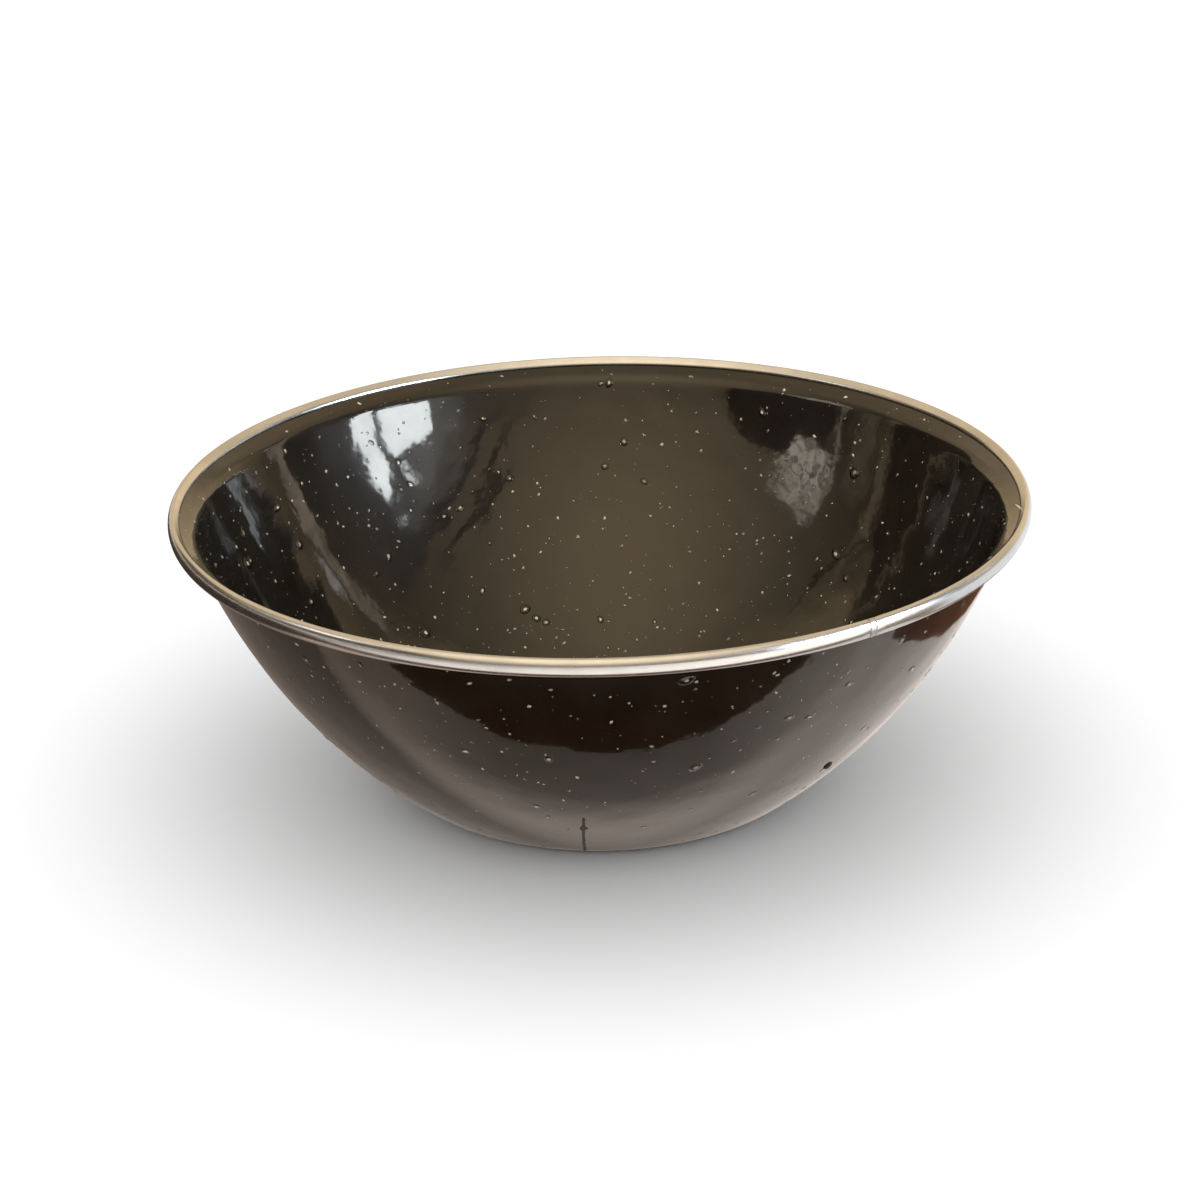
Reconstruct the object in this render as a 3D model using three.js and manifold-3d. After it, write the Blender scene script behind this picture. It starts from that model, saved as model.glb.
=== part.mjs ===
// Speckled enamel bowl: a pressed steel shell, two fired glass coats on each face,
// and a stainless band rolled over the lip and welded into a ring.
// Millimetres, +Z up. The origin is the centre of the face that the bowl stands on.
import * as THREE from "three";
import { mergeVertices } from "three/addons/utils/BufferGeometryUtils.js";
import Module from "manifold-3d";

const wasm = await Module();
wasm.setup();

// Driving dimensions of the whole bowl
const rimDiameter = 152; // over the rolled bead
const height = 54; // standing face to the top of the bead

// Outside face of the wall, from the axis outwards and up
const kickDiameter = 48; // flat middle of the base, pressed up so that the bowl stands on a ring
const kickHeight = 0.6;
const kickSlope = 3; // radial width of the step from the middle down to the standing ring
const baseDiameter = 66; // outer edge of the standing ring, where the corner starts
const cornerRadius = 8.5; // base to wall
const wallRadius = 106; // long arc of the wall
const bendRadius = 2; // wall to lip
const lipReach = 2.8; // straight of the lip, from the bend to the centre of the bead
const lipAngle = THREE.MathUtils.degToRad(30); // slope of the lip above the horizontal

// Thickness of each layer, from the outside face inwards
const coverThickness = 0.15; // speckled black glass that shows
const groundThickness = 0.1; // glass that keys the cover coat to the steel
const steelThickness = 0.6;

// Rolled rim band
const beadWidth = 2.1;
const beadHeight = 3.2;
const bandThickness = 0.3;
const crimpClearance = 0.05; // between the band and the glass that it grips
const weldWidth = 1.3; // weld metal between the two ends of the band
const weldAngle = THREE.MathUtils.degToRad(-55.5); // place of the weld, from +X towards +Y

// Fineness of the facets: every turned piece shares aroundSteps, so that neighbours nest
const aroundSteps = 48;
const cornerSteps = 2;
const wallSteps = 5;
const bendSteps = 2;
const beadSteps = 3; // in each quarter of the bead's oval

// Depths of the faces between the layers, measured from the outside face
const outsideGround = coverThickness;
const outsideSteel = outsideGround + groundThickness;
const insideSteel = outsideSteel + steelThickness;
const insideGround = insideSteel + groundThickness;
const insideFace = insideGround + coverThickness;

// The lip's own frame: its origin is the centre of the bead, along the lip and square to it
const beadCentre = new THREE.Vector2((rimDiameter - beadWidth) / 2, height - beadHeight / 2);
const alongLip = new THREE.Vector2(Math.cos(lipAngle), Math.sin(lipAngle));
const squareToLip = new THREE.Vector2(-alongLip.y, alongLip.x);

function lipPoint(along, square) {
  return beadCentre.clone().addScaledVector(alongLip, along).addScaledVector(squareToLip, square);
}

// The inside face of the lip runs into the bead half-way up its inner side, and the outside face lies
// a wall's thickness below it
const lipInside = (beadWidth / 2) * Math.sin(lipAngle);
const lipOutside = lipInside - insideFace;

// Arc centres of the outside face. The wall arc holds the corner arc inside it and touches the bend from the
// other side, so its centre is where two circles cross.
const cornerCentre = new THREE.Vector2(baseDiameter / 2, cornerRadius);
const bendCentre = lipPoint(-lipReach, lipOutside - bendRadius);
const wallCentre = crossing(bendCentre, wallRadius + bendRadius, cornerCentre, wallRadius - cornerRadius);
const wallStart = cornerCentre.clone().sub(wallCentre).angle() - 2 * Math.PI;
const wallEnd = bendCentre.clone().sub(wallCentre).angle() - 2 * Math.PI;

// The crossing of two circles that lies to the right of the way from the first centre to the second
function crossing(first, firstRadius, second, secondRadius) {
  const way = second.clone().sub(first);
  const distance = way.length();
  way.divideScalar(distance);
  const reach = (firstRadius ** 2 - secondRadius ** 2 + distance ** 2) / (2 * distance);
  const side = Math.sqrt(firstRadius ** 2 - reach ** 2);
  const right = new THREE.Vector2(way.y, -way.x);
  return first.clone().addScaledVector(way, reach).addScaledVector(right, side);
}

// A round arc, or an oval one where the upright radius differs
function arc(centre, radius, from, to, steps, upright = radius) {
  return new THREE.EllipseCurve(centre.x, centre.y, radius, upright, from, to, to < from).getPoints(steps);
}

// One face of the wall, from the axis to the edge of the lip, a given depth inside the outside face
function facePoints(depth) {
  const kickEdge = kickDiameter / 2;
  const wall = arc(wallCentre, wallRadius - depth, wallStart, wallEnd, wallSteps);
  const bend = arc(bendCentre, bendRadius + depth, wallEnd + Math.PI, lipAngle + Math.PI / 2, bendSteps);
  return [
    new THREE.Vector2(0, kickHeight + depth),
    new THREE.Vector2(kickEdge, kickHeight + depth),
    new THREE.Vector2(kickEdge + kickSlope, depth),
    ...arc(cornerCentre, cornerRadius - depth, -Math.PI / 2, wallStart, cornerSteps),
    ...wall.slice(1),
    ...bend.slice(1),
    lipPoint(0, lipOutside + depth),
  ];
}

// Turns a closed outline round the bowl's axis
function turned(outline) {
  const closed = outline[0].x > 0 ? [...outline, outline[0]] : outline;
  return new THREE.LatheGeometry(closed, aroundSteps).rotateX(Math.PI / 2);
}

// A layer of the wall between two depths
function layer(outerDepth, innerDepth) {
  return turned([...facePoints(outerDepth), ...facePoints(innerDepth).reverse()]);
}

// One face of the rolled band, a given depth inside its oval: from the edge that rests on the lip's inside
// face, over the top and round the lip's edge, to the edge that comes back up against the outside face.
function bandFace(depth) {
  const halfWidth = beadWidth / 2 - depth;
  const halfHeight = beadHeight / 2 - depth;
  const across = halfWidth * Math.sin(lipAngle);
  const upright = halfHeight * Math.cos(lipAngle);
  const lean = Math.PI + Math.atan2(across, upright);
  const lipCrossing = (square) => lean - Math.asin(square / Math.hypot(across, upright));
  const edge = lipCrossing(lipInside + crimpClearance);
  const close = lipCrossing(lipOutside - crimpClearance) - 2 * Math.PI;
  const stops = [Math.PI / 2, 0, -Math.PI / 2, close];
  const points = [];
  let from = edge;
  for (const to of stops) {
    points.push(...arc(beadCentre, halfWidth, from, to, beadSteps, halfHeight).slice(points.length ? 1 : 0));
    from = to;
  }
  return points;
}

function bandOutline() {
  return [...bandFace(bandThickness), ...bandFace(0).reverse()];
}

function solidOf(geometry) {
  const bare = geometry.clone();
  bare.deleteAttribute("normal");
  bare.deleteAttribute("uv");
  const merged = mergeVertices(bare);
  return new wasm.Manifold(
    new wasm.Mesh({
      numProp: 3,
      vertProperties: merged.attributes.position.array,
      triVerts: new Uint32Array(merged.index.array),
    }),
  );
}

function geometryOf(solid) {
  const mesh = solid.getMesh();
  const geometry = new THREE.BufferGeometry();
  geometry.setAttribute("position", new THREE.BufferAttribute(mesh.vertProperties, 3));
  geometry.setIndex(new THREE.BufferAttribute(mesh.triVerts, 1));
  geometry.computeVertexNormals();
  return geometry;
}

// The block of space that the weld takes up, right across the bead
function weldBlock() {
  const block = new THREE.BoxGeometry(2 * beadWidth, weldWidth, 2 * beadHeight);
  return block.translate(beadCentre.x, 0, beadCentre.y).rotateZ(weldAngle);
}

const bandRing = solidOf(turned(bandOutline()));
const weldSpace = solidOf(weldBlock());

const blackGlass = { color: 0x1c1814, roughness: 0.12, metalness: 0 };
const groundGlass = { color: 0x2b2f38, roughness: 0.5, metalness: 0 };
const pressedSteel = { color: 0x8d8f92, roughness: 0.55, metalness: 1 };
const polishedStainless = { color: 0xcfc6b8, roughness: 0.18, metalness: 1 };
const weldMetal = { color: 0xb9b4ab, roughness: 0.3, metalness: 1 };

const bowl = new THREE.Group();

function add(name, geometry, finish) {
  const mesh = new THREE.Mesh(geometry, new THREE.MeshStandardMaterial(finish));
  mesh.name = name;
  bowl.add(mesh);
}

add("enamel_outside", layer(0, outsideGround), blackGlass);
add("ground_coat_outside", layer(outsideGround, outsideSteel), groundGlass);
add("steel_shell", layer(outsideSteel, insideSteel), pressedSteel);
add("ground_coat_inside", layer(insideSteel, insideGround), groundGlass);
add("enamel_inside", layer(insideGround, insideFace), blackGlass);
add("rim_band", geometryOf(bandRing.subtract(weldSpace)), polishedStainless);
add("rim_weld", geometryOf(bandRing.intersect(weldSpace)), weldMetal);

export default bowl;
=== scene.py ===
import bisect
import math
import random

import bpy
from mathutils import Matrix, Vector, noise


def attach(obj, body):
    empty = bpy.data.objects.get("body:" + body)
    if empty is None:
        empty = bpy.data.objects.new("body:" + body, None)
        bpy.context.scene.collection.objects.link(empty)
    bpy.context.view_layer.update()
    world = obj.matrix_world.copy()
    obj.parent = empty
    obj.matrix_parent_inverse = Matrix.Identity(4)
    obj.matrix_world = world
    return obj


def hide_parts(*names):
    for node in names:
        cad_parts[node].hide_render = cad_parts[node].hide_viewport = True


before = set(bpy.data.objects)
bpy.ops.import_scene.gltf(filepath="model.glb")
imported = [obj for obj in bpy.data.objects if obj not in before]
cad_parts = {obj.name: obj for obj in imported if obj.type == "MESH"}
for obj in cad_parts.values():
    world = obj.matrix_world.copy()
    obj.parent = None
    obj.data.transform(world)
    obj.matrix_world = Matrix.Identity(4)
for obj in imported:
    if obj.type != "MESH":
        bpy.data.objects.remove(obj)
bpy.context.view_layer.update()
mm = 0.001
print("frame loaded, nodes:", sorted(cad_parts))

bpy.context.scene.view_settings.view_transform = "Standard"

# sizes of the bowl in millimetres, the same as the solids
bowlForm = {
    "rimDiameter": 152,
    "height": 54,
    "kickDiameter": 48,
    "kickHeight": 0.6,
    "kickSlope": 3,
    "baseDiameter": 66,
    "cornerRadius": 8.5,
    "wallRadius": 106,
    "bendRadius": 2,
    "lipReach": 2.8,
    "lipAngle": math.radians(30),
    "coverThickness": 0.15,
    "groundThickness": 0.1,
    "steelThickness": 0.6,
    "beadWidth": 2.1,
    "beadHeight": 3.2,
    "bandThickness": 0.3,
    "crimpClearance": 0.05,
    "weldWidth": 1.3,
    "weldAngle": math.radians(-55.5),
}

# facets round the bowl, and the spacing of rows along its faces in millimetres
fineness = {
    "around": 420,
    "rippled": 0.9,
    "plain": 3.5,
    "bends": 0.6,
    "kickSteps": 6,
    "grains": 0.4,
}

halfBead = Vector((bowlForm["beadWidth"] / 2, bowlForm["beadHeight"] / 2))
outsideGround = bowlForm["coverThickness"]
outsideSteel = outsideGround + bowlForm["groundThickness"]
insideSteel = outsideSteel + bowlForm["steelThickness"]
insideGround = insideSteel + bowlForm["groundThickness"]
insideFace = insideGround + bowlForm["coverThickness"]

# the lip's frame: along the lip and square to it, from the centre of the bead
beadCentre = Vector((bowlForm["rimDiameter"] / 2, bowlForm["height"])) - halfBead
alongLip = Vector((math.cos(bowlForm["lipAngle"]), math.sin(bowlForm["lipAngle"])))
squareToLip = Vector((-alongLip.y, alongLip.x))
lipInside = halfBead.x * alongLip.y
lipOutside = lipInside - insideFace
bandEdgeRadius = beadCentre.x - halfBead.x


def lipPoint(along, square):
    return beadCentre + alongLip * along + squareToLip * square


def crossing(first, firstRadius, second, secondRadius):
    way = second - first
    distance = way.length
    way = way / distance
    reach = (firstRadius**2 - secondRadius**2 + distance**2) / (2 * distance)
    side = math.sqrt(firstRadius**2 - reach**2)
    return first + way * reach + Vector((way.y, -way.x)) * side


cornerCentre = Vector((bowlForm["baseDiameter"] / 2, bowlForm["cornerRadius"]))
bendCentre = lipPoint(-bowlForm["lipReach"], lipOutside - bowlForm["bendRadius"])
wallCentre = crossing(
    bendCentre,
    bowlForm["wallRadius"] + bowlForm["bendRadius"],
    cornerCentre,
    bowlForm["wallRadius"] - bowlForm["cornerRadius"],
)
wallStart = math.atan2(*(cornerCentre - wallCentre).yx)
wallEnd = math.atan2(*(bendCentre - wallCentre).yx)


def lineRows(start, end, normal, spacing):
    count = max(1, math.ceil((end - start).length / spacing))
    return [(*start.lerp(end, i / count), *normal) for i in range(count + 1)]


def arcRows(centre, radius, start, end, facing, spacing):
    count = max(3, math.ceil(abs(end - start) * radius / spacing))
    rows = []
    for i in range(count + 1):
        turn = start + (end - start) * i / count
        way = Vector((math.cos(turn), math.sin(turn)))
        rows.append((*(centre + way * radius), *(way * facing)))
    return rows


# rows of a face of the wall from the axis to the lip's edge: radius, height and the outward normal
def faceRows(depth, spacing):
    form = bowlForm
    down = Vector((0, -1))
    kickEdge = form["kickDiameter"] / 2
    stepEnd = kickEdge + form["kickSlope"]
    kickLevel = form["kickHeight"] + depth
    rows = lineRows(Vector((0, kickLevel)), Vector((kickEdge, kickLevel)), down, spacing)
    for i in range(1, fineness["kickSteps"] + 1):
        share = i / fineness["kickSteps"]
        lift = form["kickHeight"] * (1 + math.cos(math.pi * share)) / 2
        rows.append((kickEdge + form["kickSlope"] * share, depth + lift, *down))
    rows += lineRows(Vector((stepEnd, depth)), Vector((cornerCentre.x, depth)), down, spacing)[1:]
    fine = min(spacing, fineness["bends"])
    rows += arcRows(cornerCentre, form["cornerRadius"] - depth, -math.pi / 2, wallStart, 1, fine)[1:]
    rows += arcRows(wallCentre, form["wallRadius"] - depth, wallStart, wallEnd, 1, spacing)[1:]
    lipTurn = form["lipAngle"] + math.pi / 2
    rows += arcRows(bendCentre, form["bendRadius"] + depth, wallEnd + math.pi, lipTurn, -1, fine)[1:]
    lipStart = lipPoint(-form["lipReach"], lipOutside + depth)
    lipEnd = lipPoint(0, lipOutside + depth)
    rows += lineRows(lipStart, lipEnd, -squareToLip, fine)[1:]
    return rows


def smoothStep(low, high, value):
    share = min(1, max(0, (value - low) / (high - low)))
    return share * share * (3 - 2 * share)


# how the fired glass stands off an even coat, in millimetres
glassRipple = {
    "swellHeight": 0.05,
    "swellLength": 16,
    "rippleHeight": 0.06,
    "rippleLength": 5.2,
    "rippleShift": (7, 3, 1),
    "outsideShift": 300,
    "quietAtBase": (0.4, 5),
    "flushAtBase": (0, 0.5),
    "leastStand": 0.15,
    "quietAtBand": (0.1, 2.5),
}


def rippleAt(radius, height, turn, outside):
    shift = glassRipple["outsideShift"] if outside else 0
    place = Vector((radius * math.cos(turn), radius * math.sin(turn), height + shift))
    lift = glassRipple["swellHeight"] * noise.noise(place / glassRipple["swellLength"])
    ripple = place / glassRipple["rippleLength"] + Vector(glassRipple["rippleShift"])
    lift += glassRipple["rippleHeight"] * noise.noise(ripple)
    quiet = smoothStep(*glassRipple["quietAtBand"], bandEdgeRadius - radius)
    if outside:
        quiet *= smoothStep(*glassRipple["quietAtBase"], height)
    return lift * quiet


# where a point of the visible glass lies, given its way along the face and its turn
class GlassFace:
    def __init__(self, depth, outside):
        self.outside = outside
        self.rows = faceRows(depth, fineness["grains"])
        self.ways = [0]
        self.areas = [0]
        for a, b in zip(self.rows, self.rows[1:]):
            step = math.hypot(b[0] - a[0], b[1] - a[1])
            self.ways.append(self.ways[-1] + step)
            self.areas.append(self.areas[-1] + step * (a[0] + b[0]) / 2)

    def row(self, way):
        i = min(max(bisect.bisect_right(self.ways, way) - 1, 0), len(self.rows) - 2)
        share = (way - self.ways[i]) / max(self.ways[i + 1] - self.ways[i], 1e-9)
        return [p + (q - p) * share for p, q in zip(self.rows[i], self.rows[i + 1])]

    def wayOfArea(self, area):
        i = min(max(bisect.bisect_right(self.areas, area) - 1, 0), len(self.rows) - 2)
        share = (area - self.areas[i]) / max(self.areas[i + 1] - self.areas[i], 1e-9)
        return self.ways[i] + (self.ways[i + 1] - self.ways[i]) * share

    def wayOfHeight(self, height):
        ways = [w for w, row in zip(self.ways, self.rows) if row[1] >= height and row[0] > cornerCentre.x]
        return ways[0]

    def wayOfRadius(self, radius):
        return [w for w, row in zip(self.ways, self.rows) if row[0] <= radius][-1]

    def point(self, way, turn, stand):
        radius, height, outR, outZ = self.row(way)
        facing = 1 if self.outside else -1
        if self.outside and stand > 0:
            # what stands out lies almost flush under the standing ring
            stand *= max(glassRipple["leastStand"], smoothStep(*glassRipple["flushAtBase"], height))
        lift = facing * (stand + rippleAt(radius, height, turn, self.outside))
        radius, height = radius + outR * lift, height + outZ * lift
        return (radius * math.cos(turn) * mm, radius * math.sin(turn) * mm, height * mm)


def newPiece(name, points, faces, finishes, faceFinish=None):
    mesh = bpy.data.meshes.new(name)
    mesh.from_pydata(points, [], faces)
    for finish in finishes:
        mesh.materials.append(finish)
    if faceFinish:
        mesh.polygons.foreach_set("material_index", faceFinish)
    mesh.polygons.foreach_set("use_smooth", [True] * len(mesh.polygons))
    mesh.update()
    piece = bpy.data.objects.new(name, mesh)
    bpy.context.collection.objects.link(piece)
    return piece


# a layer of the wall, turned from its outer and inner rows and closed at the lip's edge
def layerPiece(name, outerDepth, innerDepth, finish, ripples=None):
    steps = fineness["around"]
    outer = faceRows(outerDepth, fineness["rippled" if ripples == "outside" else "plain"])
    inner = faceRows(innerDepth, fineness["rippled" if ripples == "inside" else "plain"])
    rows = [(row, ripples == "outside", 1) for row in outer]
    rows += [(row, ripples == "inside", -1) for row in reversed(inner)]
    points = [(0, 0, outer[0][1] * mm)]
    for (radius, height, outR, outZ), rippled, facing in rows[1:-1]:
        for i in range(steps):
            turn = 2 * math.pi * i / steps
            lift = facing * rippleAt(radius, height, turn, facing > 0) if rippled else 0
            r, z = radius + outR * lift, height + outZ * lift
            points.append((r * math.cos(turn) * mm, r * math.sin(turn) * mm, z * mm))
    points.append((0, 0, inner[0][1] * mm))
    faces = []
    last = len(points) - 1
    ringCount = len(rows) - 2
    for i in range(steps):
        j = (i + 1) % steps
        faces.append((0, 1 + j, 1 + i))
        for k in range(ringCount - 1):
            a, b = 1 + k * steps, 1 + (k + 1) * steps
            faces.append((a + i, a + j, b + j, b + i))
        a = 1 + (ringCount - 1) * steps
        faces.append((a + i, a + j, last))
    return newPiece(name, points, faces, [finish])


# one socket of a finish; an expression on values adds its Math nodes
class Socket:
    def __init__(self, finish, socket):
        self.finish = finish
        self.socket = socket

    def math(self, operation, first, second):
        return self.finish.node("ShaderNodeMath", {"operation": operation}, {0: first, 1: second})

    def __add__(self, other):
        return self.math("ADD", self, other)

    def __radd__(self, other):
        return self.math("ADD", other, self)

    def __sub__(self, other):
        return self.math("SUBTRACT", self, other)

    def __rsub__(self, other):
        return self.math("SUBTRACT", other, self)

    def __mul__(self, other):
        return self.math("MULTIPLY", self, other)

    def __rmul__(self, other):
        return self.math("MULTIPLY", other, self)


class Finish:
    def __init__(self, name, tree=None):
        self.material = None
        if tree is None:
            self.material = bpy.data.materials.new(name)
            self.material.use_nodes = True
            tree = self.material.node_tree
        self.tree = tree
        self.tree.nodes.clear()

    # any node: its type, its settings, then the values or links of its sockets
    def node(self, kind, settings=None, sockets=None, out=0):
        made = self.tree.nodes.new(kind)
        for key, value in (settings or {}).items():
            if key == "stops":
                self.setStops(made.color_ramp, value)
            else:
                setattr(made, key, value)
        for key, value in (sockets or {}).items():
            if isinstance(value, Socket):
                self.tree.links.new(value.socket, made.inputs[key])
            else:
                made.inputs[key].default_value = value
        return Socket(self, made.outputs[out]) if made.outputs else None

    def setStops(self, ramp, stops):
        while len(ramp.elements) > 1:
            ramp.elements.remove(ramp.elements[-1])
        ramp.elements[0].position = stops[0][0]
        ramp.elements[0].color = (*stops[0][1], 1)
        for place, colour in stops[1:]:
            ramp.elements.new(place).color = (*colour, 1)

    def place(self):
        return self.node("ShaderNodeTexCoord", out="Object")

    def grain(self, place, size, detail=0, rough=0.5):
        return self.node(
            "ShaderNodeTexNoise",
            {},
            {"Vector": place, "Scale": 1 / size, "Detail": detail, "Roughness": rough},
        )

    def ramp(self, value, stops):
        return self.node("ShaderNodeValToRGB", {"stops": stops}, {"Fac": value})

    def spread(self, value, low, high, fromLow=0.0, fromHigh=1.0):
        return self.node(
            "ShaderNodeMapRange",
            {"clamp": True},
            {"Value": value, "From Min": fromLow, "From Max": fromHigh, "To Min": low, "To Max": high},
        )

    def mixColour(self, share, first, second):
        return self.node(
            "ShaderNodeMix", {"data_type": "RGBA"}, {"Factor": share, 6: first, 7: second}, out=2
        )

    def scaled(self, colour, level):
        return self.node("ShaderNodeVectorMath", {"operation": "SCALE"}, {0: colour, "Scale": level})

    def bump(self, height, depth, under=None):
        sockets = {"Height": height, "Distance": depth, "Strength": 1.0}
        if under:
            sockets["Normal"] = under
        return self.node("ShaderNodeBump", {}, sockets)

    def surface(self, sockets):
        shader = self.node("ShaderNodeBsdfPrincipled", {}, sockets)
        self.node("ShaderNodeOutputMaterial", {}, {"Surface": shader})
        return self.material


# glossy black cover coat
blackGlass = {
    "deep": (0.0032, 0.0024, 0.0015),
    "thin": (0.0068, 0.0052, 0.0034),
    "cloudSize": 9 * mm,
    "cloudSpan": (0.35, 0.7),
    "peelSize": 2.2 * mm,
    "peelDepth": 0.024 * mm,
    "fineSize": 0.9 * mm,
    "fineDepth": 0.001 * mm,
    "rough": (0.05, 0.09),
    "roughSize": 14 * mm,
    "roughSpan": (0.3, 0.7),
    "refraction": 1.52,
    "tint": (1.0, 0.92, 0.8),
    "haze": 0.16,
    "hazeRough": 0.34,
}


def blackGlassFinish():
    finish = Finish("black_glass")
    place = finish.place()
    cloud = finish.spread(finish.grain(place, blackGlass["cloudSize"], 3), 0, 1, *blackGlass["cloudSpan"])
    colour = finish.mixColour(cloud, (*blackGlass["deep"], 1), (*blackGlass["thin"], 1))
    peel = finish.bump(finish.grain(place, blackGlass["peelSize"], 1), blackGlass["peelDepth"])
    fine = finish.bump(finish.grain(place, blackGlass["fineSize"], 1), blackGlass["fineDepth"], peel)
    dulling = finish.grain(place, blackGlass["roughSize"], 4)
    rough = finish.spread(dulling, *blackGlass["rough"], *blackGlass["roughSpan"])
    return finish.surface(
        {
            "Base Color": colour,
            "Roughness": rough,
            "IOR": blackGlass["refraction"],
            "Specular Tint": (*blackGlass["tint"], 1),
            "Coat Weight": blackGlass["haze"],
            "Coat Roughness": blackGlass["hazeRough"],
            "Normal": fine,
        }
    )


# grains of pale glass in the cover coat, each one bright or dull and a little flecked
grainGlass = {
    "toneSize": 2.2 * mm,
    "toneSpan": (0.36, 0.66),
    "fleckSize": 0.25 * mm,
    "rough": 0.16,
    "refraction": 1.52,
}
creamGrain = {
    "bright": (0.72, 0.63, 0.46),
    "dull": (0.09, 0.075, 0.053),
    "fleck": (0.8, 0.72, 0.56),
    "fleckShare": 0.22,
}

# those outside are a dimmer copy of the same grains
dimGrain = {
    "bright": (0.42, 0.37, 0.28),
    "dull": (0.045, 0.038, 0.028),
    "fleck": (0.5, 0.45, 0.36),
    "fleckShare": 0.12,
}


def grainFinish(name, bright, dull, fleck, fleckShare):
    finish = Finish(name)
    place = finish.place()
    tone = finish.spread(finish.grain(place, grainGlass["toneSize"], 1), 0, 1, *grainGlass["toneSpan"])
    colour = finish.mixColour(tone, (*bright, 1), (*dull, 1))
    flecks = finish.spread(finish.grain(place, grainGlass["fleckSize"], 2), 0, fleckShare)
    colour = finish.mixColour(flecks, colour, (*fleck, 1))
    return finish.surface(
        {"Base Color": colour, "Roughness": grainGlass["rough"], "IOR": grainGlass["refraction"]}
    )


# dull finishes: each grain is a size and its detail, the tones are stops of a ramp
burntGlass = {  # where the firing left a mark
    "toneGrain": (0.5 * mm, 3),
    "tones": [(0.3, (0.006, 0.005, 0.0045)), (0.7, (0.014, 0.012, 0.011))],
    "roughGrain": (0.4 * mm, 2),
    "rough": (0.45, 0.65),
    "shader": {"Specular IOR Level": 0.3},
}
groundGlass = {
    "toneGrain": (1.5 * mm, 4),
    "tones": [(0.3, (0.012, 0.014, 0.02)), (0.75, (0.04, 0.046, 0.062))],
    "roughGrain": (3 * mm, 3),
    "rough": (0.4, 0.6),
    "bumpGrain": (0.6 * mm, 2),
    "bumpDepth": 0.004 * mm,
}
pressedSteel = {
    "toneGrain": (4 * mm, 5),
    "tones": [(0.3, (0.22, 0.22, 0.23)), (0.7, (0.33, 0.33, 0.33))],
    "roughGrain": (1 * mm, 3),
    "rough": (0.45, 0.65),
    "bumpGrain": (0.3 * mm, 3),
    "bumpDepth": 0.003 * mm,
    "shader": {"Metallic": 1.0},
}
tornStrip = {  # the burr at the rim's inner edge
    "toneGrain": (0.4 * mm, 3),
    "tones": [(0.3, (0.6, 0.57, 0.5)), (0.7, (0.82, 0.79, 0.71))],
    "roughGrain": (0.3 * mm, 2),
    "rough": (0.55, 0.75),
    "bumpGrain": (0.2 * mm, 2),
    "bumpDepth": 0.004 * mm,
    "shader": {"Metallic": 0.35},
}


def dullFinish(name, toneGrain, tones, roughGrain, rough, bumpGrain=None, bumpDepth=0, shader=None):
    finish = Finish(name)
    place = finish.place()
    sockets = {
        "Base Color": finish.ramp(finish.grain(place, *toneGrain), tones),
        "Roughness": finish.spread(finish.grain(place, *roughGrain), *rough),
    }
    if bumpGrain:
        sockets["Normal"] = finish.bump(finish.grain(place, *bumpGrain), bumpDepth)
    return finish.surface({**sockets, **(shader or {})})


# polished strip of the rim; its streaks run along the strip, so they read the strip's own map
stainless = {
    "light": (0.58, 0.58, 0.58),
    "dark": (0.51, 0.51, 0.51),
    "rough": (0.21, 0.28),
    "lineDepth": 0.0001 * mm,
}
stripGrain = {
    "stretch": (0.06, 1, 1),
    "lineSize": 0.16 * mm,
    "lineRough": 0.6,
    "cloudSize": 5 * mm,
    "toneSpan": (0.36, 0.64),
    "shineSpan": (0.35, 0.65),
    "linesInTone": 0.5,
    "linesInShine": 0.4,
}


def stripFinish(name, light, dark, rough, lineDepth, seams=None):
    finish = Finish(name)
    strip = finish.node("ShaderNodeUVMap", {"uv_map": "strip"})
    stretch = stripGrain["stretch"]
    drawn = finish.node("ShaderNodeVectorMath", {"operation": "MULTIPLY"}, {0: strip, 1: stretch})
    lines = finish.grain(drawn, stripGrain["lineSize"], 3, stripGrain["lineRough"])
    broad = finish.grain(finish.place(), stripGrain["cloudSize"], 4)
    tone = lines * stripGrain["linesInTone"] + broad * (1 - stripGrain["linesInTone"])
    tone = finish.spread(tone, 0, 1, *stripGrain["toneSpan"])
    colour = finish.mixColour(tone, (*light, 1), (*dark, 1))
    if seams:
        along = finish.node("ShaderNodeSeparateXYZ", {}, {0: strip}, out="X")
        aside = finish.node("ShaderNodeMath", {"operation": "ABSOLUTE"}, {0: along - seams["middle"]})
        share = finish.spread(aside, 0, 1, seams["half"] - seams["width"], seams["half"])
        colour = finish.mixColour(share, colour, (*seams["colour"], 1))
    shine = broad * (1 - stripGrain["linesInShine"]) + lines * stripGrain["linesInShine"]
    shine = finish.spread(shine, *rough, *stripGrain["shineSpan"])
    normal = finish.bump(lines, lineDepth)
    return finish.surface({"Base Color": colour, "Metallic": 1.0, "Roughness": shine, "Normal": normal})


# ground weld: greyer than the strip, with a dark seam along each side
weldMetal = {
    "light": (0.5, 0.51, 0.53),
    "dark": (0.42, 0.43, 0.45),
    "rough": (0.28, 0.4),
    "lineDepth": 0.001 * mm,
    "seams": {
        "middle": bowlForm["weldAngle"] * beadCentre.x * mm,
        "half": bowlForm["weldWidth"] / 2 * mm,
        "width": 0.2 * mm,
        "colour": (0.12, 0.12, 0.13),
    },
}


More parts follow.
